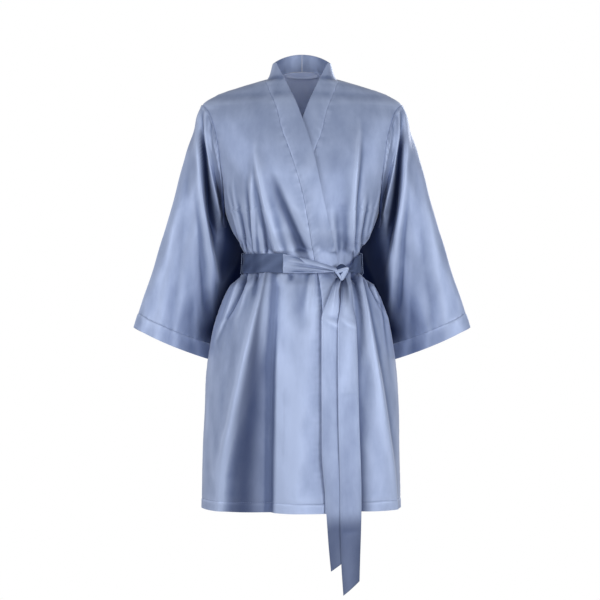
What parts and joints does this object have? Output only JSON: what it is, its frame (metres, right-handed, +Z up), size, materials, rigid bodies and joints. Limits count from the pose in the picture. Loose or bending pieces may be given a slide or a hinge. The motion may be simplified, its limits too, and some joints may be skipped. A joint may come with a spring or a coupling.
{
  "type": "short kimono robe",
  "caption": "Short satin kimono robe in its worn, hollow form: wrapped right over left, dropped shoulders, elbow-length sleeves, a deep neck band and its tie belt knotted in front.",
  "frame": {"origin": "the point midway between the two neck points, where the shoulder seams meet the neck band and the wearer's shoulders carry the robe", "axes": "+Z up, -Y to the front of the robe, +X to the wearer's left"},
  "size_m": [0.6726, 0.2706, 1.0672],
  "materials": {
    "satin": "dusty blue satin, smooth face with a soft sheen",
    "thread": "matching sewing thread, lightly twisted"
  },
  "bodies": {
    "root": {"back_upper": "satin", "back_lower": "satin", "front_right_upper": "satin", "front_right_lower": "satin", "front_left_upper": "satin", "front_left_lower": "satin", "band_right_upper": "satin", "band_right_lower": "satin", "band_left_upper": "satin", "band_left_lower": "satin", "sleeve_right": "satin", "sleeve_left": "satin", "cuff_right": "satin", "cuff_left": "satin", "hanger_loop": "satin", "belt_wrap": "satin", "belt_front": "satin", "belt_knot": "satin", "belt_tail_under": "satin", "belt_tail_upper": "satin", "belt_loop_right": "thread", "belt_loop_left": "thread"}
  },
  "joints": []
}
